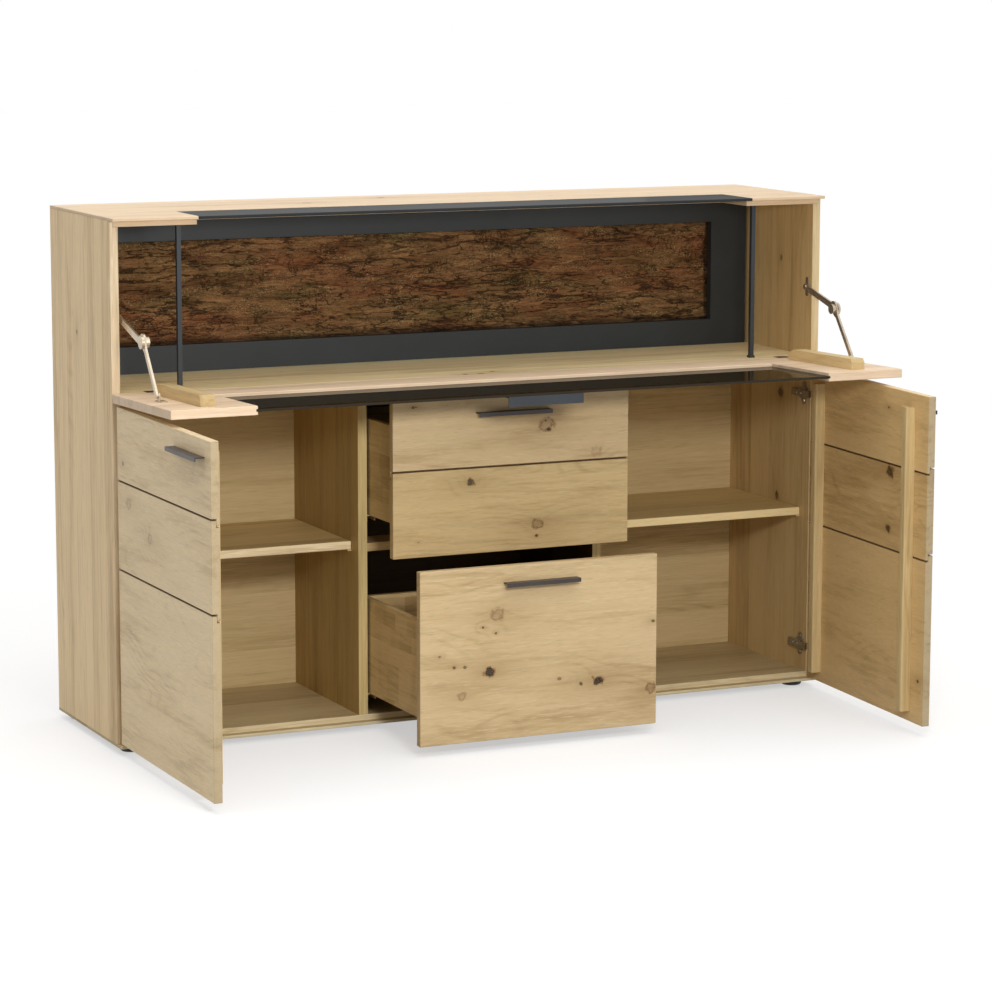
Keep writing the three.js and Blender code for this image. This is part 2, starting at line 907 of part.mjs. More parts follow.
// The leaf lies in the deck and its barrel turns in a notch of the flap.
function flapHinge(hand) {
  const x = hand * (halfWidth - flapHingeInset);
  const x0 = x - flapHingeLength / 2;
  const x1 = x + flapHingeLength / 2;
  const low = deckTop - flapHingeLeafThickness;
  const leaf = boxBetween(x0, x1, flapPivotY, flapHingeLeafDepth, low, deckTop);
  const barrel = rodAlongX(flapHingeBarrelRadius, x0, x1, flapPivotY, flapPivotZ);
  return join(leaf, barrel);
}

// Flap stays

function turned(y, z, angle) {
  return [y * Math.cos(angle) - z * Math.sin(angle), y * Math.sin(angle) + z * Math.cos(angle)];
}

const flapTurn = -THREE.MathUtils.degToRad(flapRestAngle);
const stayPivot = [stayPivotSetback, deckTop + stayPivotRiseShare * compartmentHeight];
const stayElbow = [
  stayPivot[0] - stayElbowReachShare * flapLength,
  stayPivot[1] - stayElbowDropShare * flapLength
];
const stayEyeLocal = [flapBackY - stayFootReachShare * flapLength, flapFaceZ + stayFootRise];
const stayEyeTurned = turned(stayEyeLocal[0], stayEyeLocal[1], flapTurn);
const stayEye = [flapPivotY + stayEyeTurned[0], flapPivotZ + stayEyeTurned[1]];
const plateFace = innerHalf - stayPlateThickness;
const upperArmOuter = plateFace - stayLayerGap;
const upperArmInner = upperArmOuter - stayArmThickness;
const lowerArmOuter = upperArmInner - stayLayerGap;
const lowerArmInner = lowerArmOuter - stayArmThickness;
const earOuter = lowerArmInner - stayLayerGap;
const earInner = earOuter - stayEarThickness;

// The outline round two circles of unlike radius, from the first centre to the second.
function linkShape(from, to, fromRadius, toRadius, holes) {
  const length = Math.hypot(to[0] - from[0], to[1] - from[1]);
  const heading = Math.atan2(to[1] - from[1], to[0] - from[0]);
  const spread = Math.acos((fromRadius - toRadius) / length);
  const shape = new THREE.Shape();
  shape.absarc(from[0], from[1], fromRadius, heading + spread, heading - spread + 2 * Math.PI);
  shape.absarc(to[0], to[1], toRadius, heading - spread, heading + spread);
  for (const [centre, radius] of holes) {
    const hole = new THREE.Path();
    hole.absarc(centre[0], centre[1], radius, 0, 2 * Math.PI, true);
    shape.holes.push(hole);
  }
  return shape;
}

function linkAlongX(shape, x0, x1) {
  const start = Math.min(x0, x1);
  const geometry = prism(shape, Math.abs(x1 - x0), smallRoundSegments / 2);
  const turn = new THREE.Matrix4().makeBasis(
    new THREE.Vector3(0, 1, 0),
    new THREE.Vector3(0, 0, 1),
    new THREE.Vector3(1, 0, 0)
  );
  geometry.applyMatrix4(turn);
  geometry.translate(start, 0, 0);
  return geometry;
}

function pinWithHead(hand, from, to, centre, head) {
  const [headRadius, headHeight] = head;
  const shoulder = to - headHeight;
  return [
    rodAlongX(stayPinRadius, hand * from, hand * shoulder, centre[0], centre[1]),
    rodAlongX(headRadius, hand * to, hand * shoulder, centre[0], centre[1])
  ];
}

function stayPlate(hand) {
  const rise = (stayPlateHeight - stayPlateWidth) / 2;
  const low = [stayPivot[0], stayPivot[1] - rise];
  const high = [stayPivot[0], stayPivot[1] + rise];
  const oval = linkShape(low, high, stayPlateWidth / 2, stayPlateWidth / 2, []);
  const blank = linkAlongX(oval, hand * innerHalf, hand * plateFace);
  const seatFloor = hand * (plateFace + stayScrewSeatDepth);
  const seats = [low, high].map(([y, z]) =>
    rodAlongX(stayScrewSeatRadius, seatFloor, hand * (plateFace - overrun), y, z)
  );
  const screws = [low, high].map(([y, z]) =>
    rodAlongX(stayScrewRadius, hand * innerHalf, hand * plateFace, y, z)
  );
  const head = [stayPinHeadRadius, stayPinHeadHeight];
  const pin = pinWithHead(hand, plateFace + seatGap, lowerArmOuter, stayPivot, head);
  return join(cut(blank, ...seats), ...screws, ...pin);
}

function stayUpperArm(hand) {
  const hole = stayPinRadius + stayHoleClearance;
  const outline = linkShape(stayPivot, stayElbow, stayShoulderRadius, stayArmEndRadius, [[stayPivot, hole]]);
  const arm = linkAlongX(outline, hand * upperArmOuter, hand * upperArmInner);
  const knuckle = rodAlongX(
    stayElbowRadius,
    hand * upperArmOuter,
    hand * upperArmInner,
    stayElbow[0],
    stayElbow[1],
    roundSegments
  );
  const head = [stayDrumRadius, stayDrumHeight];
  const drum = pinWithHead(hand, upperArmInner + seatGap, earOuter, stayElbow, head);
  return join(arm, knuckle, ...drum);
}

function stayLowerArm(hand) {
  const heading = Math.atan2(stayEye[1] - stayElbow[1], stayEye[0] - stayElbow[0]);
  const along = (distance) => [
    stayElbow[0] + distance * Math.cos(heading),
    stayElbow[1] + distance * Math.sin(heading)
  ];
  const top = along(-stayKnuckleShift);
  const low = along(stayKnuckleLength - stayKnuckleShift);
  const cam = linkShape(top, low, stayKnuckleRadius, stayArmEndRadius, []);
  const bar = linkShape(stayElbow, stayEye, stayEyeRadius, stayEyeRadius, []);
  const arm = join(
    linkAlongX(bar, hand * lowerArmOuter, hand * lowerArmInner),
    linkAlongX(cam, hand * lowerArmOuter, hand * lowerArmInner)
  );
  const bore = rodAlongX(
    stayPinRadius + stayHoleClearance,
    hand * (lowerArmOuter + overrun),
    hand * (lowerArmInner - overrun),
    stayElbow[0],
    stayElbow[1]
  );
  return cut(arm, bore);
}

// The foot's ear stands beside the lower arm's eye. It is drawn in the flap's own frame.
function stayFoot(hand) {
  const base = flapFaceZ + seatGap;
  const eye = stayEyeLocal;
  const ground = [eye[0], base + stayEarRadius];
  const ear = linkAlongX(
    linkShape(ground, eye, stayEarRadius, stayEarRadius, []),
    hand * earOuter,
    hand * earInner
  );
  const plate = boxBetween(
    hand * earOuter,
    hand * (earOuter - stayFootWidth),
    eye[0] - stayFootLength / 2,
    eye[0] + stayFootLength / 2,
    base,
    base + stayFootThickness
  );
  return join(ear, plate);
}

// Assembly

const cabinet = new THREE.Group();
cabinet.position.y = -carcassDepth / 2;

cabinet.add(piece("top_panel", topPanel(), oakLight));
cabinet.add(piece("top_glass", topGlass(), smokedGlass));
const bottomPanel = lipAndLayer(footHeight, bottomLipTop, bottomLipTop, floorTop);
cabinet.add(piece("bottom_panel", bottomPanel, oakFront));
cabinet.add(piece("deck_panel", deckPanel(), oakLight));
const railTop = shelfTop;
const drawerRail = boxBetween(-bayHalf, bayHalf, 0, railDepth, shelfBottom, railTop);
cabinet.add(piece("drawer_rail", drawerRail, oakInside));
cabinet.add(piece("back_panel_lower", backPanel(floorTop, deckBottom), oakInside));
cabinet.add(piece("back_panel_upper", backPanel(deckTop, ceiling), oakInside));
cabinet.add(piece("back_frame", backFrame(), anthracite));
cabinet.add(piece("bark_panel", barkPanel(), barkBrown));

for (const [side, hand] of sides) {
  cabinet.add(piece(`side_panel_${side}`, sidePanel(hand), oakSide));
  cabinet.add(piece(`divider_${side}`, divider(hand), oakInside));
  cabinet.add(piece(`shelf_${side}`, shelf(hand), oakInside));
  cabinet.add(piece(`post_${side}`, post(hand), anthracite));
  cabinet.add(piece(`door_hinge_${side}_upper`, doorHinge(hand, upperHingeZ), nickel));
  cabinet.add(piece(`door_hinge_${side}_lower`, doorHinge(hand, lowerHingeZ), nickel));
  cabinet.add(piece(`flap_hinge_${side}`, flapHinge(hand), anthracite));
  cabinet.add(piece(`stay_plate_${side}`, stayPlate(hand), nickel));
  cabinet.add(piece(`stay_upper_arm_${side}`, stayUpperArm(hand), nickel));
  cabinet.add(piece(`stay_lower_arm_${side}`, stayLowerArm(hand), nickel));
}

const feet = [
  ["centre", 0, carcassDepth / 2],
  ["front_left", -halfWidth + footSideInset, footEdgeInset],
  ["front_right", halfWidth - footSideInset, footEdgeInset],
  ["back_left", -halfWidth + footSideInset, carcassDepth - footEdgeInset],
  ["back_right", halfWidth - footSideInset, carcassDepth - footEdgeInset]
];
for (const [place, x, y] of feet) {
  const mesh = piece(`foot_${place}`, foot(), blackPlastic);
  mesh.position.set(x, y, 0);
  cabinet.add(mesh);
}

cabinet.add(door("left", -1, leftDoorOpenAngle));
cabinet.add(door("right", 1, rightDoorOpenAngle));

const upperDrawerBottom = lowerJointHeight + drawerGap / 2;
const lowerDrawerTop = lowerJointHeight - drawerGap / 2;
const upperFronts = [
  ["front_lower", upperDrawerBottom, upperJointHeight, false, true],
  ["front_upper", upperJointHeight, frontTop, true, false]
];
const lowerFronts = [["front", frontBottom, lowerDrawerTop, false, false]];
cabinet.add(drawer("drawer_upper", upperFronts, upperBoxBottom, upperDrawerPull));
cabinet.add(drawer("drawer_lower", lowerFronts, lowerBoxBottom, lowerDrawerPull));

const flap = new THREE.Group();
flap.add(piece("flap_board", flapBoard(), oakLight));
flap.add(piece("flap_glass", flapGlass(), smokedGlass));
flap.add(piece("flap_handle", flapHandle(), handleMetal));
for (const [side, hand] of sides) {
  flap.add(piece(`flap_batten_${side}`, flapBatten(hand), oakBatten));
  flap.add(piece(`stay_foot_${side}`, stayFoot(hand), nickel));
}
flap.position.set(0, flapPivotY, flapPivotZ);
flap.rotation.x = flapTurn;
cabinet.add(flap);

const highboard = new THREE.Group();
highboard.name = "highboard";
highboard.add(cabinet);

export default highboard;
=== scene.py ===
"""Looks of the oak highboard: wood, glass, metal and bark finishes, light and camera.

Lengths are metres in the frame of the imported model: X along the width, Y from front to back, Z up.
"""

import math

import bpy
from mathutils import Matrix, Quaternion, Vector, noise


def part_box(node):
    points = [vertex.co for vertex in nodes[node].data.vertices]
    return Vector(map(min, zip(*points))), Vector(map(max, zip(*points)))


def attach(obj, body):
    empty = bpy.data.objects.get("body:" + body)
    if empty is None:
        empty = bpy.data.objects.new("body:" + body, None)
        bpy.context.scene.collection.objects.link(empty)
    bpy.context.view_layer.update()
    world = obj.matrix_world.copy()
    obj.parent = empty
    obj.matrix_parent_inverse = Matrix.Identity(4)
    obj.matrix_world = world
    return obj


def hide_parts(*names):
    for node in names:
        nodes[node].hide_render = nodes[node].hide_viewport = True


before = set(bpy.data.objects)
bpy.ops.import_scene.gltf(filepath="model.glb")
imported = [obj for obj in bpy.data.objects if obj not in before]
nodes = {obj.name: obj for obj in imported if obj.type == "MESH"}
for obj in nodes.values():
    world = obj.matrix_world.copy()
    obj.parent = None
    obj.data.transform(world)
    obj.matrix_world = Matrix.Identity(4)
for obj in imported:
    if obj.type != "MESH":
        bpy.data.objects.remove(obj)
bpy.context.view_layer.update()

SIDES = (("left", -1), ("right", 1))
X = Vector((1, 0, 0))
Y = Vector((0, 1, 0))
Z = Vector((0, 0, 1))
MM = 0.001
WHITE = (1, 1, 1, 1)


# Shader helpers


def linear(rgb):
    """An sRGB colour of 0 to 255 as the linear colour that shaders take."""
    shares = [value / 255 for value in rgb]
    return tuple(s / 12.92 if s <= 0.04045 else ((s + 0.055) / 1.055) ** 2.4 for s in shares) + (1,)


def toned(rgb, shares):
    """The linear colour of an sRGB one times one share, or times a share for each channel."""
    if not isinstance(shares, tuple):
        shares = (shares,) * 3
    return linear([min(255, value * share) for value, share in zip(rgb, shares)])


class Graph:
    """Short calls that build a node tree."""

    def __init__(self, tree):
        self.tree = tree

    def node(self, kind, inputs=None, **settings):
        made = self.tree.nodes.new("ShaderNode" + kind)
        for key, value in settings.items():
            setattr(made, key, value)
        for key, value in (inputs or {}).items():
            self.put(made.inputs[key], value)
        return made

    def put(self, socket, value):
        if isinstance(value, bpy.types.NodeSocket):
            self.tree.links.new(value, socket)
        else:
            socket.default_value = value

    def fill(self, shader, **sockets):
        """Fill the named inputs of a shader; an underscore in a name stands for a space."""
        for label, value in sockets.items():
            self.put(shader.inputs[label.replace("_", " ")], value)

    def math(self, operation, *values):
        made = self.node("Math", operation=operation)
        for socket, value in zip(made.inputs, values):
            self.put(socket, value)
        return made.outputs[0]

    def times(self, first, *others):
        for other in others:
            first = self.math("MULTIPLY", first, other)
        return first

    def most(self, first, *others):
        for other in others:
            first = self.math("MAXIMUM", first, other)
        return first

    def swing(self, value, amount, base):
        """The base and the amount times how far the value is from 0.5, the middle of a noise."""
        return self.math("MULTIPLY_ADD", self.math("SUBTRACT", value, 0.5), amount, base)

    def vector(self, operation, first, second):
        return self.node("VectorMath", {0: first, 1: second}, operation=operation).outputs[0]

    def dot(self, vector, direction):
        made = self.node("VectorMath", {0: vector, 1: direction}, operation="DOT_PRODUCT")
        return made.outputs["Value"]

    def combine(self, x, y, z):
        return self.node("CombineXYZ", {"X": x, "Y": y, "Z": z}).outputs[0]

    def split(self, colour):
        return self.node("SeparateColor", {"Color": colour}).outputs

    def noise(self, vector, scale, detail=2.0, roughness=0.5, distortion=0.0):
        inputs = {
            "Vector": vector,
            "Scale": scale,
            "Detail": detail,
            "Roughness": roughness,
            "Distortion": distortion,
        }
        return self.node("TexNoise", inputs).outputs[0]

    def span(self, value, low, high, to_low=0.0, to_high=1.0):
        inputs = {"Value": value, "From Min": low, "From Max": high, "To Min": to_low, "To Max": to_high}
        return self.node("MapRange", inputs).outputs[0]

    def mix(self, share, first, second, blend="MIX"):
        made = self.node("Mix", data_type="RGBA", blend_type=blend)
        self.put(made.inputs[0], share)
        self.put(made.inputs[6], first)
        self.put(made.inputs[7], second)
        return made.outputs[2]

    def bump(self, height, strength, distance):
        inputs = {"Height": height, "Strength": strength, "Distance": distance}
        return self.node("Bump", inputs).outputs[0]

    def coordinates(self):
        """Places and directions in the row frame at rest, as Object and Normal."""
        return self.node("TexCoord").outputs

    def seen(self):
        """1 for a ray of the camera, also by way of gloss or glass, and 0 for a ray of the light."""
        path = self.node("LightPath").outputs
        return self.most(path["Is Camera Ray"], path["Is Glossy Ray"], path["Is Transmission Ray"])


def group(name, inputs, outputs, build):
    """A node group with float sockets; build(graph, sockets) returns one output value for each output."""
    tree = bpy.data.node_groups.new(name, "ShaderNodeTree")
    for label in inputs:
        tree.interface.new_socket(label, in_out="INPUT", socket_type="NodeSocketFloat")
    for label in outputs:
        tree.interface.new_socket(label, in_out="OUTPUT", socket_type="NodeSocketFloat")
    graph = Graph(tree)
    entry = tree.nodes.new("NodeGroupInput")
    leave = tree.nodes.new("NodeGroupOutput")
    for label, value in zip(outputs, build(graph, entry.outputs)):
        graph.put(leave.inputs[label], value)
    return tree


def use_group(graph, tree, values):
    made = graph.node("Group", node_tree=tree)
    for label, value in values.items():
        graph.put(made.inputs[label], value)
    return made.outputs


def new_material(name, **sockets):
    material = bpy.data.materials.new(name)
    material.use_nodes = True
    graph = Graph(material.node_tree)
    surface = material.node_tree.nodes["Principled BSDF"]
    graph.fill(surface, **sockets)
    return material, graph, surface


def dress(node, material):
    mesh = nodes[node].data
    mesh.materials.clear()
    mesh.materials.append(material)


# Knots. Distances from a knot's middle are in its radii.

KNOT_ROUGHNESS = ((70, 1.6), (420, 0.5))  # scale of a noise and its push on the outline
HEART_EDGE = (0.78, 0.64)
RIM_OUTSIDE = (1.1, 0.85)
RIM_INSIDE = (0.45, 0.7)
OUTLINE_STRETCH = (1.2, 1.0)
HALO_STRETCH = (3.8, 1.5)
HALO_PACE = 0.7
RING_STRETCH = (1.3, 1.0)
RING_PACE = 0.42


def build_knot(graph, given):
    """One knot: the grain's push round it, its dark heart, its rim and the warm halo along the grain."""
    along = graph.math("SUBTRACT", given["U"], given["Place U"])
    across = graph.math("SUBTRACT", given["V"], given["Place V"])
    spot = graph.combine(given["U"], given["V"], given["Place U"])

    def reach(stretch, squeeze):
        longways = graph.math("POWER", graph.math("DIVIDE", along, stretch), 2)
        sideways = graph.math("POWER", graph.math("DIVIDE", across, squeeze), 2)
        distance = graph.math("SQRT", graph.math("ADD", longways, sideways))
        return graph.math("DIVIDE", distance, given["Size"])

    def fade(distance, pace):
        return graph.math("EXPONENT", graph.times(distance, -pace))

    rough = reach(*OUTLINE_STRETCH)
    for scale, push in KNOT_ROUGHNESS:
        rough = graph.swing(graph.noise(spot, scale, detail=2), push, rough)
    heart = graph.span(rough, *HEART_EDGE)
    rim = graph.times(graph.span(rough, *RIM_OUTSIDE), graph.span(rough, *RIM_INSIDE))
    halo = fade(reach(*HALO_STRETCH), HALO_PACE)
    ring = fade(reach(*RING_STRETCH), RING_PACE)
    return [ring, heart, rim, halo]


KNOT = group("knot", ("U", "V", "Place U", "Place V", "Size"), ("Ring", "Heart", "Rim", "Halo"), build_knot)


# Oak. U runs along the grain, V across the staves and W into the board.

SEED_SHIFT = 17.3  # staves by which one unit of seed moves the joints
STAVE_SHIFT_ALONG = 9.0  # metres by which the grain of two staves differs at most
STAVE_SHIFT_INTO = 3.0
STAVE_SPREAD = 0.45  # how uneven the widths are, from 0 to 1
JOINT_WIDTH = 0.012  # as a share of a stave
BLOCK_SPREAD = 0.6
BLOCK_SHIFT = 7.7  # blocks by which the joints of two staves differ at most
LONGEST_BLOCK = 1.0  # metres; a board with longer blocks shows none
RINGS_PER_METRE = 30.0
RING_WAVER = 16.0  # rings by which the noise bends the grain at most
KNOT_PUSH = 2.6  # rings by which a knot bends the grain
LATE_WOOD_POWER = 4.0
BROAD_TONE = 0.85  # how much each layer changes the tone
STREAK_TONE = 0.7
FIGURE_TONE = -0.3


def build_oak(graph, given):
    """Staved oak: each stave has its own tone and its own stretch of grain."""

    def cells(place, spread, **settings):
        inputs = {"W": place, "Scale": 1.0, "Randomness": spread}
        return graph.node("TexVoronoi", inputs, voronoi_dimensions="1D", **settings).outputs

    in_staves = graph.math("DIVIDE", given["V"], given["Stave"])
    place = graph.math("MULTIPLY_ADD", given["Seed"], SEED_SHIFT, in_staves)
    lot = graph.split(cells(place, STAVE_SPREAD)["Color"])
    edge = cells(place, STAVE_SPREAD, feature="DISTANCE_TO_EDGE")["Distance"]
    shifted = graph.math("MULTIPLY_ADD", lot[0], STAVE_SHIFT_ALONG, given["U"])
    u = graph.math("ADD", shifted, given["Seed"])
    w = graph.math("MULTIPLY_ADD", lot[1], STAVE_SHIFT_INTO, given["W"])

    def layer(along, across, **settings):
        """A noise with so many features in a metre along the grain and across it."""
        spot = graph.combine(
            graph.times(u, given["Wave"], along),
            graph.times(given["V"], across),
            graph.times(w, across),
        )
        return graph.noise(spot, 1.0, **settings)

    waver = layer(1.1, 6.0, detail=1.5, distortion=0.25)
    phase = graph.math("MULTIPLY_ADD", waver, RING_WAVER, graph.times(given["V"], RINGS_PER_METRE))
    phase = graph.math("MULTIPLY_ADD", given["Ring"], KNOT_PUSH, phase)
    band = graph.math("MULTIPLY_ADD", graph.math("SINE", graph.times(phase, 2 * math.pi)), 0.5, 0.5)
    late = graph.math("POWER", band, LATE_WOOD_POWER)
    patch = graph.span(layer(1.6, 11, detail=2), 0.42, 0.66)
    broad = layer(1.1, 13, detail=3, roughness=0.6, distortion=0.4)
    streak = layer(3.2, 85, detail=4, roughness=0.65, distortion=0.3)
    pores = graph.span(layer(20, 900, detail=2), 0.56, 0.7)
    fleck = graph.span(layer(14, 330, detail=2), 0.57, 0.7)
    figure = graph.times(late, patch, given["Figure"])
    joint = graph.span(edge, 0.0, JOINT_WIDTH, 1.0, 0.0)

    in_blocks = graph.math("DIVIDE", given["U"], given["Block"])
    run = graph.math("MULTIPLY_ADD", lot[1], BLOCK_SHIFT, in_blocks)
    block = graph.split(cells(run, BLOCK_SPREAD)["Color"])[0]
    jointed = graph.math("LESS_THAN", given["Block"], LONGEST_BLOCK)
    patchwork = graph.times(graph.math("SUBTRACT", block, 0.5), jointed)

    tone = graph.swing(broad, BROAD_TONE, 0.5)
    tone = graph.swing(streak, STREAK_TONE, tone)
    tone = graph.math("MULTIPLY_ADD", figure, FIGURE_TONE, tone)
    tone = graph.swing(lot[2], given["Contrast"], tone)
    tone = graph.math("MULTIPLY_ADD", patchwork, given["Contrast"], tone)
    return [tone, pores, joint, streak, fleck]


OAK = group(
    "oak",
    ("U", "V", "W", "Seed", "Stave", "Block", "Figure", "Contrast", "Wave", "Ring"),
    ("Tone", "Pores", "Joint", "Streak", "Fleck"),
    build_oak,
)

# The wood's darker and lighter parts as shares of its tone
DARKEST = (0.78, 0.73, 0.64)
LIGHTEST = (1.06, 1.07, 1.1)
PORE = 0.62
JOINT_LINE = 0.6
END_GRAIN = 0.72
FLECK = (1.07, 1.1, 1.16)
KNOT_HALO = (0.72, 0.65, 0.54)
KNOT_RIM = (0.52, 0.4, 0.22)
KNOT_HEART = (0.14, 0.09, 0.03)

DARKEST_TONE = 0.08
LIGHTEST_TONE = 0.92
PORE_STRENGTH = 0.28
JOINT_STRENGTH = 0.12
FLECK_STRENGTH = 0.5
END_STRENGTH = 0.25
HALO_STRENGTH = 0.7
PALE_HEART = 0.25
GRIT_SCALE = 520
OAK_ROUGHNESS = (0.48, 0.62)
# Painted shade: the share of the tone for wood inside the closed drawer bay
PAINTED_BAY_SHADE = (0.16, 0.13, 0.1)


def oak(
    name,
    colour,
    grain,
    across,
    seed,
    stave=0.085,
    block=9.0,
    figure=0.45,
    contrast=0.26,
    wave=1.0,
    knots=(),
    turned=False,
    faces=(),
    bay=0.0,
):
    """An oiled oak material with its grain along one direction and its staves side by side across it.

    Stave is a stave's width and block a block's length. Wave is how short and wavy the figure is.
    Each knot is a point of the row frame, its radius and its darkness, and a pale one that shows
    little more than its rim has True after them. A turned board runs its grain along Y on faces that
    look along X, as a box's side walls do. Each of faces is a direction and the share of the tone that
    looks that way: painted light and shade. Within bay of the middle, front-facing wood is painted shade.
    """
    material, graph, surface = new_material("oak_" + name, Specular_IOR_Level=0.35)
    where = graph.coordinates()
    u = graph.dot(where["Object"], grain)
    v = graph.dot(where["Object"], across)
    w = graph.dot(where["Object"], grain.cross(across))
    facing = graph.math("ABSOLUTE", graph.dot(where["Normal"], grain))

    def looks(direction):
        return graph.math("GREATER_THAN", graph.dot(where["Normal"], direction), 0.5)

    if turned:
        side_on = graph.math("GREATER_THAN", facing, 0.5)
        straight_on = graph.math("SUBTRACT", 1.0, side_on)

        def either(straight, side):
            return graph.math("ADD", graph.times(straight, straight_on), graph.times(side, side_on))

        u, w = either(u, w), either(w, u)
        facing = 0.0

    ring, heart, rim, halo = 0.0, 0.0, 0.0, 0.0
    for point, size, dark, *pale in knots:
        spot = Vector(point)
        knot = {"U": u, "V": v, "Place U": spot.dot(grain), "Place V": spot.dot(across), "Size": size}
        made = use_group(graph, KNOT, knot)
        heart_dark = dark * (PALE_HEART if pale else 1)
        ring = graph.math("ADD", ring, made["Ring"])
        heart = graph.most(heart, graph.times(made["Heart"], heart_dark))
        rim = graph.most(rim, graph.times(made["Rim"], dark))
        halo = graph.most(halo, graph.times(made["Halo"], dark))

    board = {
        "U": u,
        "V": v,
        "W": w,
        "Seed": seed,
        "Stave": stave,
        "Block": block,
        "Figure": figure,
        "Contrast": contrast,
        "Wave": wave,
        "Ring": ring,
    }
    wood = use_group(graph, OAK, board)
    ramp = graph.node("ValToRGB", {"Fac": wood["Tone"]})
    stops = ramp.color_ramp.elements
    stops[0].position = DARKEST_TONE
    stops[0].color = toned(colour, DARKEST)
    stops[1].position = LIGHTEST_TONE
    stops[1].color = toned(colour, LIGHTEST)
    middle = stops.new(0.5)
    middle.color = linear(colour)
    base = ramp.outputs[0]
    for share, part in (
        (graph.times(wood["Pores"], PORE_STRENGTH), PORE),
        (graph.times(wood["Joint"], JOINT_STRENGTH), JOINT_LINE),
        (graph.times(wood["Fleck"], FLECK_STRENGTH), FLECK),
        (graph.times(facing, END_STRENGTH), END_GRAIN),
    ):
        base = graph.mix(share, base, toned(colour, part))
    if knots:
        grit = graph.noise(where["Object"], GRIT_SCALE, detail=2)
        for share, part in (
            (graph.times(halo, HALO_STRENGTH), KNOT_HALO),
            (graph.times(rim, graph.span(grit, 0.4, 0.6, 0.3, 1.0)), KNOT_RIM),
            (graph.times(heart, graph.span(grit, 0.35, 0.5, 0.6, 1.0)), KNOT_HEART),
        ):
            base = graph.mix(share, base, toned(colour, part))
    # Painted light and shade: each face that looks one way takes its share of the tone
    for direction, tint in faces:
        base = graph.mix(looks(direction), base, (*tint, 1), "MULTIPLY")
    # Painted shade of the closed drawer bay: front-facing wood within bay of the middle is darkened
    if bay:
        off_middle = graph.math("ABSOLUTE", graph.dot(where["Object"], X))
        within = graph.times(graph.math("LESS_THAN", off_middle, bay), looks(-Y))
        base = graph.mix(within, base, (*PAINTED_BAY_SHADE, 1), "MULTIPLY")
    relief = graph.math("SUBTRACT", wood["Streak"], graph.times(wood["Pores"], 0.8))
    graph.fill(
        surface,
        Base_Color=base,
        Roughness=graph.span(wood["Streak"], 0.3, 0.7, *OAK_ROUGHNESS),
        Normal=graph.bump(relief, 0.25, 0.15 * MM),
    )
    return material


# The oak pieces

TOP_TONE = (228, 199, 161)
FLAP_TONE = (236, 208, 174)
# Painted light: the deck is paler for the light that falls on its front part
LIT_DECK_TONE = (252, 230, 179)
BOTTOM_TONE = (197, 176, 132)
SIDE_TONE = (238, 209, 161)
FRONT_TONE = (215, 187, 141)
LOWER_FRONT_TONE = (210, 181, 129)
DOOR_TONE = (236, 211, 168)
# Painted shade: darker and warmer for the shaded inside of the cabinet
SHADED_INNER_TONE = (204, 173, 120)
BACK_TONE = (217, 191, 140)
# Painted shade: the dividers' tone is darkened for their shaded sides
SHADED_DIVIDER_TONE = (184, 155, 97)
SHELF_TONE = (220, 194, 137)
BATTEN_TONE = (216, 189, 136)
UPPER_BOX_TONE = (206, 178, 123)
LOWER_BOX_TONE = (214, 184, 130)

BOARD = {"stave": 0.9, "contrast": 0.1, "wave": 1.9, "figure": 0.5}
BOX = {"stave": 0.04, "block": 0.06, "turned": True}
BATTEN_STAVE = 0.3
BAY_HALF = 0.291
DOOR_SEED = 20.0
SEED_STEP = 1.37
RIGHT_DOOR_LEAN = math.radians(3.8)
DOOR_GRAINS = {
    "left": -Y,
    "right": Vector((-math.sin(RIGHT_DOOR_LEAN), -math.cos(RIGHT_DOOR_LEAN), 0)),
}

# A node, its tone, the directions of its grain and across its staves, its seed and what it has of its own
OAK_NODES = (
    ("top_panel", TOP_TONE, X, Y, 1.3, {"stave": 0.07}),
    ("deck_panel", LIT_DECK_TONE, X, Y, 2.6, {"stave": 0.065}),
    ("bottom_panel", BOTTOM_TONE, X, Y, 3.1, {"stave": 0.07}),
    ("flap_board", FLAP_TONE, X, Y, 4.2, {"stave": 0.09, "contrast": 0.2, "figure": 0.3}),
    ("side_panel_left", SIDE_TONE, Z, Y, 5.7, {"stave": 0.052}),
    ("side_panel_right", SHADED_INNER_TONE, Z, Y, 6.4, {"stave": 0.095}),
    ("divider_left", SHADED_DIVIDER_TONE, Z, Y, 7.9, {"stave": 0.09}),
    ("divider_right", SHADED_DIVIDER_TONE, Z, Y, 8.3, {"stave": 0.09}),
    ("back_panel_lower", BACK_TONE, X, Z, 9.6, {"stave": 0.075, "contrast": 0.3, "bay": BAY_HALF}),
    ("back_panel_upper", BACK_TONE, X, Z, 10.2, {"stave": 0.09}),
    ("shelf_left", SHELF_TONE, X, Y, 11.8, {"stave": 0.09}),
    ("shelf_right", SHELF_TONE, X, Y, 12.5, {"stave": 0.09}),
    ("drawer_rail", SHADED_INNER_TONE, X, Y, 13.4, {"stave": 0.09}),
    ("drawer_upper_front_upper", FRONT_TONE, X, Z, 14.7, BOARD),
    ("drawer_upper_front_lower", LOWER_FRONT_TONE, X, Z, 15.1, BOARD),
    ("drawer_lower_front", FRONT_TONE, X, Z, 16.9, BOARD),
    ("drawer_upper_box", UPPER_BOX_TONE, X, Z, 17.3, BOX),
    ("drawer_lower_box", LOWER_BOX_TONE, X, Z, 18.8, BOX),
)
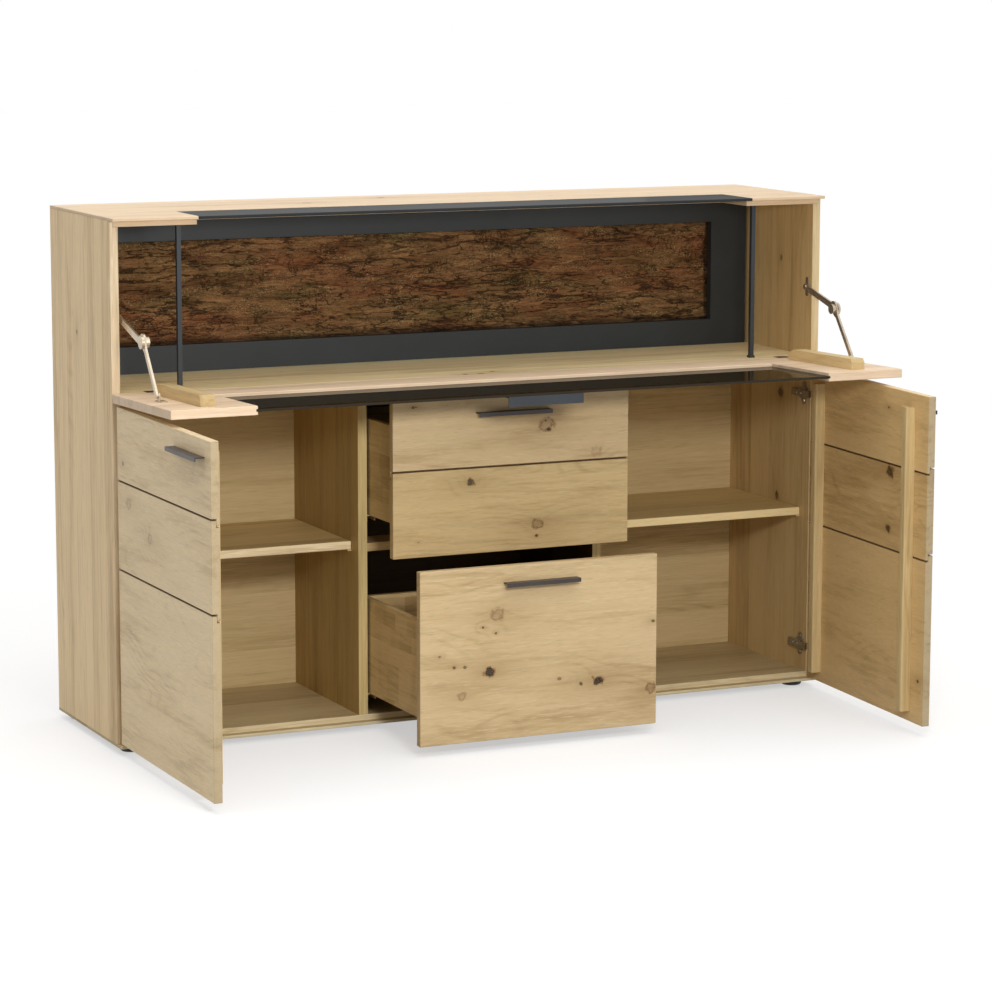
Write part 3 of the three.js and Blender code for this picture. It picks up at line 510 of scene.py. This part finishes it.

# Painted light and shade on faces, for how the light falls on each side: a direction and the share of the
# piece's tone that looks that way
# Painted shade in the shadow gaps: the faces that look into a groove are darkened
GROOVE_SHADE = (0.34, 0.28, 0.22)
# Painted light: the dividers' front edges are lifted well above their shaded tone
DIVIDER_EDGE_LIGHT = (1.5, 1.67, 2.05)
# Painted shade: the doors' inner faces are darker and warmer
DOOR_INSIDE_SHADE = (0.84, 0.73, 0.53)
DOOR_FREE_EDGE = (0.7, 0.69, 0.67)
DOOR_GROOVES = {"top": (-Z,), "middle": (-Z, Z), "bottom": (Z,)}
FACE_LIGHT_AND_SHADE = {
    "deck_panel": ((Y, (0.72, 0.7, 0.62)),),
    "bottom_panel": ((-Y, (1.5, 1.62, 1.9)),),
    "flap_board": ((-Z, (0.86, 0.86, 0.76)),),
    "side_panel_left": ((X, (0.72, 0.67, 0.54)), (-Y, (1.0, 1.06, 1.25))),
    "side_panel_right": ((-Y, (1.3, 1.45, 1.8)), (X, (1.38, 1.5, 1.85))),
    "divider_left": ((-Y, DIVIDER_EDGE_LIGHT), (X, PAINTED_BAY_SHADE)),
    "divider_right": ((-Y, DIVIDER_EDGE_LIGHT), (-X, PAINTED_BAY_SHADE)),
    "shelf_left": ((-Y, (1.55, 1.7, 2.3)),),
    "shelf_right": ((-Y, (1.42, 1.46, 1.6)),),
    "drawer_upper_front_upper": ((-Z, GROOVE_SHADE),),
    "drawer_upper_front_lower": ((Z, GROOVE_SHADE),),
}

# Each knot is a point, a radius and a darkness, with True after them for a pale one
KNOTS = {
    "top_panel": [
        ((-0.333, 0.043, 1.206), 0.012, 0.6),
        ((-0.109, 0.130, 1.206), 0.009, 0.8),
    ],
    "deck_panel": [
        ((-0.037, -0.205, 0.817), 0.006, 0.9),
        ((0.041, -0.183, 0.817), 0.006, 0.9),
        ((0.002, -0.207, 0.817), 0.009, 0.6),
    ],
    "side_panel_left": [((-0.9, 0.029, 0.931), 0.006, 0.7)],
    "side_panel_right": [
        ((0.88, -0.058, 0.450), 0.010, 0.8),
        ((0.88, -0.070, 0.713), 0.014, 0.75),
        ((0.88, -0.062, 1.045), 0.007, 0.6),
    ],
    "drawer_upper_front_upper": [
        ((0.087, 0, 0.7154), 0.017, 0.9, True),
        ((0.092, 0, 0.704), 0.006, 1.0),
        ((0.084, 0, 0.724), 0.003, 1.0),
        ((0.215, 0, 0.6455), 0.012, 0.35, True),
        ((-0.247, 0, 0.772), 0.003, 0.8),
        ((-0.240, 0, 0.772), 0.002, 0.8),
    ],
    "drawer_upper_front_lower": [
        ((-0.104, 0, 0.593), 0.010, 0.85),
        ((0.065, 0, 0.486), 0.013, 0.9, True),
        ((0.062, 0, 0.458), 0.004, 0.9),
        ((-0.235, 0, 0.463), 0.002, 0.7),
    ],
    "drawer_lower_front": [
        ((-0.109, 0, 0.313), 0.015, 0.7, True),
        ((-0.127, 0, 0.183), 0.012, 1.0),
        ((0.147, 0, 0.140), 0.013, 1.0),
        ((-0.195, 0, 0.134), 0.010, 0.6, True),
        ((0.282, 0, 0.108), 0.012, 0.9, True),
        ((-0.214, 0, 0.201), 0.004, 0.8),
        ((-0.187, 0, 0.199), 0.004, 0.7),
        ((-0.142, 0, 0.287), 0.003, 0.9),
        ((-0.111, 0, 0.271), 0.003, 0.7),
        ((0.103, 0, 0.136), 0.005, 0.8),
        ((0.048, 0, 0.153), 0.004, 0.6),
        ((0.288, 0, 0.267), 0.004, 0.8),
        ((-0.249, 0, 0.228), 0.003, 0.6),
    ],
    "door_left_board_top": [((-0.893, -0.264, 0.668), 0.006, 0.6)],
    "door_left_board_middle": [
        ((-0.893, -0.300, 0.585), 0.014, 0.5, True),
        ((-0.893, -0.440, 0.527), 0.013, 0.5, True),
    ],
    "door_right_board_top": [((0.868, -0.630, 0.743), 0.003, 0.9)],
    "door_right_board_middle": [
        ((0.868, -0.642, 0.594), 0.017, 0.9),
        ((0.868, -0.636, 0.460), 0.011, 0.9),
    ],
    "door_right_board_bottom": [((0.855, -0.798, 0.127), 0.004, 1.0)],
}


def dress_oak(node, tone, grain, across, seed, **extra):
    dress(node, oak(node, tone, grain, across, seed, knots=KNOTS.get(node, ()), **extra))


def dress_wood():
    for node, tone, grain, across, seed, extra in OAK_NODES:
        dress_oak(node, tone, grain, across, seed, faces=FACE_LIGHT_AND_SHADE.get(node, ()), **extra)
    seed = DOOR_SEED
    for side, hand in SIDES:
        grain = DOOR_GRAINS[side]
        plain_faces = ((X * -hand, DOOR_INSIDE_SHADE), (-Y, DOOR_FREE_EDGE))
        for place, grooved in DOOR_GROOVES.items():
            seed += SEED_STEP
            faces = (*plain_faces, *((direction, GROOVE_SHADE) for direction in grooved))
            dress_oak(f"door_{side}_board_{place}", DOOR_TONE, grain, Z, seed, faces=faces, **BOARD)
        for place in ("hinge", "free"):
            seed += SEED_STEP
            dress_oak(f"door_{side}_batten_{place}", BATTEN_TONE, Z, grain, seed, stave=BATTEN_STAVE)
        seed += SEED_STEP
        dress_oak(f"flap_batten_{side}", BATTEN_TONE, Y, X, seed, stave=BATTEN_STAVE)


# Metal, glass and plastic


def lacquer(name, colour, metallic, roughness, grain=900):
    """Powder-fine lacquer: a faint mottle in colour and gloss over a soft orange-peel bump."""
    material, graph, surface = new_material(name, Metallic=metallic)
    where = graph.coordinates()["Object"]
    mottle = graph.noise(where, 14, detail=4)
    speck = graph.noise(where, grain, detail=2)
    base = graph.mix(graph.span(mottle, 0.3, 0.7), toned(colour, 0.93), toned(colour, 1.06))
    base = graph.mix(graph.span(speck, 0.62, 0.75, 0, 0.25), base, toned(colour, 1.25))
    graph.fill(
        surface,
        Base_Color=base,
        Roughness=graph.span(mottle, 0.3, 0.7, roughness - 0.04, roughness + 0.05),
        Normal=graph.bump(speck, 0.12, 0.08 * MM),
    )
    return material


MARKS_ALONG = 60  # polishing marks in a metre along them and across them
MARKS_ACROSS = 2200.0


def plated(name, colour, roughness, grain, metallic=0.8):
    """Plated steel with faint lengthwise polishing marks."""
    material, graph, surface = new_material(name, Metallic=metallic)
    where = graph.coordinates()["Object"]
    u = graph.times(graph.dot(where, grain), MARKS_ALONG)
    rest = graph.vector("MULTIPLY", where, (MARKS_ACROSS, MARKS_ACROSS, MARKS_ACROSS))
    marks = graph.noise(graph.combine(u, graph.dot(rest, Z), graph.dot(rest, X)), 1.0, detail=3)
    cloud = graph.noise(where, 35, detail=3)
    base = graph.mix(graph.span(cloud, 0.3, 0.7), toned(colour, 0.9), toned(colour, 1.05))
    graph.fill(
        surface,
        Base_Color=base,
        Roughness=graph.span(marks, 0.25, 0.75, roughness * 0.6, roughness * 1.5),
        Normal=graph.bump(marks, 0.08, 0.05 * MM),
    )
    return material


def smoked_glass(name, tint, coat):
    """Dark polished glass: a deep tint with a faint smear in its gloss; the opaque tint also carries
    painted reflection.
    """
    gloss = {"Coat_Weight": coat, "Coat_Roughness": 0.03}
    material, graph, surface = new_material(name, Specular_IOR_Level=0.0, **gloss)
    where = graph.coordinates()["Object"]
    smear = graph.noise(where, 9, detail=4)
    base = graph.mix(graph.span(smear, 0.3, 0.7), toned(tint, 0.97), toned(tint, 1.03))
    graph.fill(surface, Base_Color=base, Roughness=graph.span(smear, 0.3, 0.7, 0.1, 0.2))
    return material


def dress_fittings():
    frame_paint = lacquer("frame_lacquer", (36, 41, 43), metallic=0.0, roughness=0.5)
    post_paint = lacquer("post_lacquer", (45, 49, 52), metallic=0.2, roughness=0.45)
    bar_paint = lacquer("bar_handle_metal", (68, 62, 60), metallic=0.4, roughness=0.38)
    flap_paint = lacquer("flap_handle_metal", (48, 52, 56), metallic=0.2, roughness=0.5)
    nickel = plated("nickel_plate", (196, 182, 160), roughness=0.28, grain=Y)
    hinge_steel = plated("hinge_steel", (172, 168, 160), roughness=0.22, grain=Y, metallic=0.9)
    dark_plate = plated("dark_hinge_plate", (96, 92, 86), roughness=0.35, grain=X)
    plastic = lacquer("foot_plastic", (24, 25, 27), metallic=0.0, roughness=0.45, grain=500)
    dress("back_frame", frame_paint)
    # Painted reflection: the top glass's grey is partly its smoked tint and partly the bright surroundings
    # it reflects
    dress("top_glass", smoked_glass("top_smoked_glass_painted_reflection", (56, 57, 57), coat=0.12))
    # Painted reflection: the flap glass's warm brown is partly its smoked tint and partly the wood it
    # reflects
    dress("flap_glass", smoked_glass("flap_smoked_glass_painted_reflection", (42, 32, 15), coat=0.5))
    dress("flap_handle", flap_paint)
    for side, _ in SIDES:
        dress(f"post_{side}", post_paint)
        dress(f"door_{side}_handle", bar_paint)
        dress(f"flap_hinge_{side}", dark_plate)
        for piece in ("stay_plate", "stay_upper_arm", "stay_lower_arm", "stay_foot"):
            dress(f"{piece}_{side}", nickel)
        for place in ("upper", "lower"):
            dress(f"door_hinge_{side}_{place}", hinge_steel)
    for drawer in ("upper", "lower"):
        dress(f"drawer_{drawer}_handle", bar_paint)
    for place in ("centre", "front_left", "front_right", "back_left", "back_right"):
        dress(f"foot_{place}", plastic)


# Bark inlay

BARK_SEED = 4  # without it, the vector noise takes its seed from the clock
BARK_STEP = 2.8 * MM
BARK_DEPTH = 11 * MM
BARK_FLOOR = 2 * MM  # thickness where the relief is nil
BARK_EDGE = 7 * MM  # width over which the relief falls away
BARK_MARGIN = 12 * MM  # width of the plain rim
# The rim is wider at the bottom, so the painted shade of the sunken rim reaches further there
LOWER_MARGIN_SHARE = 0.7

BARK_SHADE = (105, 74, 47)
BARK_LIGHT = (173, 128, 83)
BARK_RED = (146, 86, 56)
BARK_MOSS = (118, 104, 58)
# Painted shade between the fibres, where the fibre noise that also lowers the bump is low
BARK_FIBRE_SHADE = (52, 36, 23)
BARK_LICHEN = (198, 182, 130)
BARK_GRIT = (40, 28, 18)
# Painted shade: the low places and the sunken rim of the bark are darkened
BARK_HOLLOW_SHADE = (44, 30, 20)
DARK_PLATE = (66, 44, 27)
LIGHT_PLATE = (168, 126, 86)
# Painted shade in the cracks, which the bump also sinks
BARK_CRACK_SHADE = (26, 17, 11)
PLATE_BEND_SCALE = 30.0
PLATE_BEND = (0.09, 0.09, 0.02)  # metres
PLATES_PER_METRE = (8.0, 8.0, 85.0)


def clamped(value):
    return max(0.0, min(1.0, value))


def bark_relief(x, z, inward):
    """Height share of the bark at one place of its face; it falls away at the rim."""

    def at(along, up, layer):
        return Vector((x * along, z * up, layer))

    bend = noise.noise_vector(at(9, 26, 3.1))
    swell = noise.fractal(at(4, 13, 5.5), 0.7, 2.0, 3)
    ridge = 1 - 2 * abs(noise.noise(at(6, 44, 1.7) + bend * 0.5))
    plate = 1 - 2 * abs(noise.noise(at(13, 60, 8.2) + bend * 0.8))
    fibre = noise.fractal(at(30, 260, 2.2), 0.5, 2.1, 4)
    fine = noise.fractal(at(150, 420, 7.2), 0.6, 2.1, 3)
    height = 0.42 + 0.17 * swell + 0.14 * ridge + 0.1 * plate + 0.12 * fibre + 0.07 * fine
    ragged = inward / BARK_EDGE + 0.5 * swell + 0.3 * ridge
    return clamped(height) * clamped(ragged)


def bark_sheet():
    noise.seed_set(BARK_SEED)
    low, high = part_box("bark_panel")
    columns = round((high.x - low.x) / BARK_STEP)
    rows = round((high.z - low.z) / BARK_STEP)
    back = high.y
    verts, faces, heights = [], [], []
    for row in range(rows + 1):
        z = low.z + (high.z - low.z) * row / rows
        for column in range(columns + 1):
            x = low.x + (high.x - low.x) * column / columns
            rim = min(x - low.x, high.x - x, (z - low.z) * LOWER_MARGIN_SHARE, high.z - z)
            height = bark_relief(x, z, rim - BARK_MARGIN)
            verts.append((x, back - BARK_FLOOR - height * BARK_DEPTH, z))
            heights.append(height)
    stride = columns + 1
    for row in range(rows):
        for column in range(columns):
            a = row * stride + column
            faces.append((a, a + 1, a + 1 + stride, a + stride))
    mesh = bpy.data.meshes.new("bark_sheet")
    mesh.from_pydata(verts, [], faces)
    layer = mesh.attributes.new("height", "FLOAT", "POINT")
    layer.data.foreach_set("value", heights)
    mesh.shade_smooth()
    sheet = bpy.data.objects.new("bark_sheet", mesh)
    bpy.context.scene.collection.objects.link(sheet)
    mesh.materials.append(bark_material())
    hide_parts("bark_panel")
    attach(sheet, "cabinet")


def bark_material():
    """Layers of colour with plates and cracks, finer up the sheet than along it."""
    material, graph, surface = new_material("rough_bark", Specular_IOR_Level=0.12)
    where = graph.coordinates()["Object"]
    height = graph.node("Attribute", attribute_name="height").outputs["Fac"]

    def field(along, up, detail=4, roughness=0.6):
        spot = graph.vector("MULTIPLY", where, (along, along, up))
        return graph.noise(spot, 1.0, detail=detail, roughness=roughness)

    def crack(lines, width, low, high):
        off = graph.math("ABSOLUTE", graph.math("SUBTRACT", lines, 0.5))
        return graph.times(graph.span(off, width, width * 0.25), graph.span(low, high, high + 0.1))

    tone = field(10, 52, detail=5, roughness=0.7)
    fibre = field(42, 430, roughness=0.7)
    speck = field(210, 620, detail=3, roughness=0.7)
    grit = field(330, 900, detail=2)
    lichen = graph.times(graph.span(speck, 0.54, 0.64), graph.span(field(8, 34), 0.4, 0.58))

    wavy = {"Vector": where, "Scale": PLATE_BEND_SCALE, "Detail": 6.0, "Roughness": 0.65}
    wander = graph.node("TexNoise", wavy).outputs["Color"]
    bent = graph.vector("ADD", where, graph.vector("MULTIPLY", wander, PLATE_BEND))
    plates = {"Vector": graph.vector("MULTIPLY", bent, PLATES_PER_METRE), "Scale": 1.0}
    lot = graph.split(graph.node("TexVoronoi", plates).outputs["Color"])
    edge = graph.node("TexVoronoi", plates, feature="DISTANCE_TO_EDGE").outputs["Distance"]
    cracks = graph.most(
        crack(field(5, 30, detail=6), 0.02, field(3, 9), 0.4),
        crack(field(18, 66, detail=5), 0.02, field(9, 16), 0.47),
        crack(field(26, 10, detail=5), 0.012, field(11, 27), 0.5),
        graph.times(graph.span(edge, 0.035, 0.01), graph.span(field(9, 30), 0.5, 0.62)),
    )

    base = graph.mix(graph.span(tone, 0.34, 0.66), linear(BARK_SHADE), linear(BARK_LIGHT))
    for share, colour in (
        (graph.span(field(3.5, 11), 0.46, 0.62, 0, 0.7), BARK_RED),
        (graph.span(field(4.1, 15, detail=5), 0.5, 0.66, 0, 0.75), BARK_MOSS),
        # painted shade between the fibres
        (graph.span(fibre, 0.52, 0.36, 0, 0.7), BARK_FIBRE_SHADE),
        (graph.times(lichen, 0.95), BARK_LICHEN),
        (graph.span(grit, 0.62, 0.72, 0, 0.6), BARK_GRIT),
        # painted shade where the relief is low
        (graph.span(height, 0.34, 0.14, 0, 0.7), BARK_HOLLOW_SHADE),
        (graph.times(lot[0], 0.42), DARK_PLATE),
        (graph.span(lot[1], 0.6, 0.95, 0, 0.3), LIGHT_PLATE),
        # painted shade in the cracks
        (graph.times(cracks, 0.75), BARK_CRACK_SHADE),
    ):
        base = graph.mix(share, base, linear(colour))
    relief = graph.math("MULTIPLY_ADD", cracks, -1.2, graph.math("ADD", speck, fibre))
    graph.fill(
        surface,
        Base_Color=base,
        Roughness=graph.span(speck, 0.3, 0.7, 0.75, 0.95),
        Normal=graph.bump(relief, 1.0, 1.6 * MM),
    )
    return material


# Camera. Angles are degrees.

CAMERA_PLACE = (-3.28223, -7.34536, 1.78018)
CAMERA_YAW = 24.96
CAMERA_PITCH = 9.048
CAMERA_ROLL = -0.099
FOCAL_PIXELS = 3405.55
FRAME_PIXELS = 992
SENSOR = 36.0  # millimetres


def make_camera():
    data = bpy.data.cameras.new("camera")
    data.sensor_width = SENSOR
    data.lens = FOCAL_PIXELS / FRAME_PIXELS * SENSOR
    camera = bpy.data.objects.new("camera", data)
    camera.location = CAMERA_PLACE
    yaw, pitch, roll = (math.radians(angle) for angle in (CAMERA_YAW, CAMERA_PITCH, CAMERA_ROLL))
    forward = Vector((math.sin(yaw) * math.cos(pitch), math.cos(yaw) * math.cos(pitch), -math.sin(pitch)))
    turn = forward.to_track_quat("-Z", "Y")
    camera.rotation_mode = "QUATERNION"
    camera.rotation_quaternion = turn @ Quaternion(Z, -roll)
    bpy.context.scene.collection.objects.link(camera)
    bpy.context.scene.camera = camera


# Light and floor

WORLD_LIGHT = 0.52
SOFTBOX_AIM_HEIGHT = 0.7
SUNS = (  # name, strength, softness in degrees and the way its light goes
    ("overhead", 0.25, 60, (0.05, 0.12, -1.0)),
    ("upper", 0.13, 40, (0.0, 0.7, -1.0)),
    ("right", 0.14, 80, (-1.0, -0.2, -0.3)),
    ("rear", 0.16, 80, (0.2, -1.0, -0.3)),
)
FLOOR_SIZE = 60
FLOOR_GREY = (0.4, 0.4, 0.4, 1)
FLOOR_GREY_SEEN = (0.5, 0.5, 0.5, 1)
FLOOR_GLOW = 0.52


def make_lamp(name, data, towards):
    lamp = bpy.data.objects.new(name, data)
    lamp.rotation_mode = "QUATERNION"
    lamp.rotation_quaternion = towards.to_track_quat("-Z", "Y")
    bpy.context.scene.collection.objects.link(lamp)
    return lamp


def make_sun(name, strength, softness, towards):
    data = bpy.data.lights.new(name, "SUN")
    data.energy = strength * math.pi
    data.angle = math.radians(softness)
    make_lamp(name, data, Vector(towards))


def make_softbox(name, strength, place, size):
    """A lit rectangle that faces the cabinet's front and gives the strength there."""
    place = Vector(place)
    towards = Vector((place.x, 0, SOFTBOX_AIM_HEIGHT)) - place
    data = bpy.data.lights.new(name, "AREA")
    data.shape = "RECTANGLE"
    data.size, data.size_y = size
    data.energy = strength * (math.pi * towards.length) ** 2
    lamp = make_lamp(name, data, towards)
    lamp.location = place


def make_light():
    scene = bpy.context.scene
    scene.view_settings.view_transform = "Standard"
    world = bpy.data.worlds.new("studio")
    scene.world = world
    world.use_nodes = True
    graph = Graph(world.node_tree)
    strength = graph.math("MULTIPLY_ADD", graph.seen(), 1 - WORLD_LIGHT, WORLD_LIGHT)
    graph.fill(world.node_tree.nodes["Background"], Color=WHITE, Strength=strength)
    make_softbox("front", strength=0.34, place=(-0.7, -3.1, 1.52), size=(0.55, 0.3))
    for sun in SUNS:
        make_sun(*sun)


def make_floor():
    bpy.ops.mesh.primitive_plane_add(size=FLOOR_SIZE)
    floor = bpy.context.object
    floor.name = "floor"
    material, graph, surface = new_material("studio_floor", Specular_IOR_Level=0.0, Roughness=0.9)
    seen = graph.seen()
    graph.fill(
        surface,
        Base_Color=graph.mix(seen, FLOOR_GREY, FLOOR_GREY_SEEN),
        Emission_Color=WHITE,
        Emission_Strength=graph.times(seen, FLOOR_GLOW),
    )
    floor.data.materials.append(material)


dress_wood()
dress_fittings()
bark_sheet()
make_camera()
make_light()
make_floor()
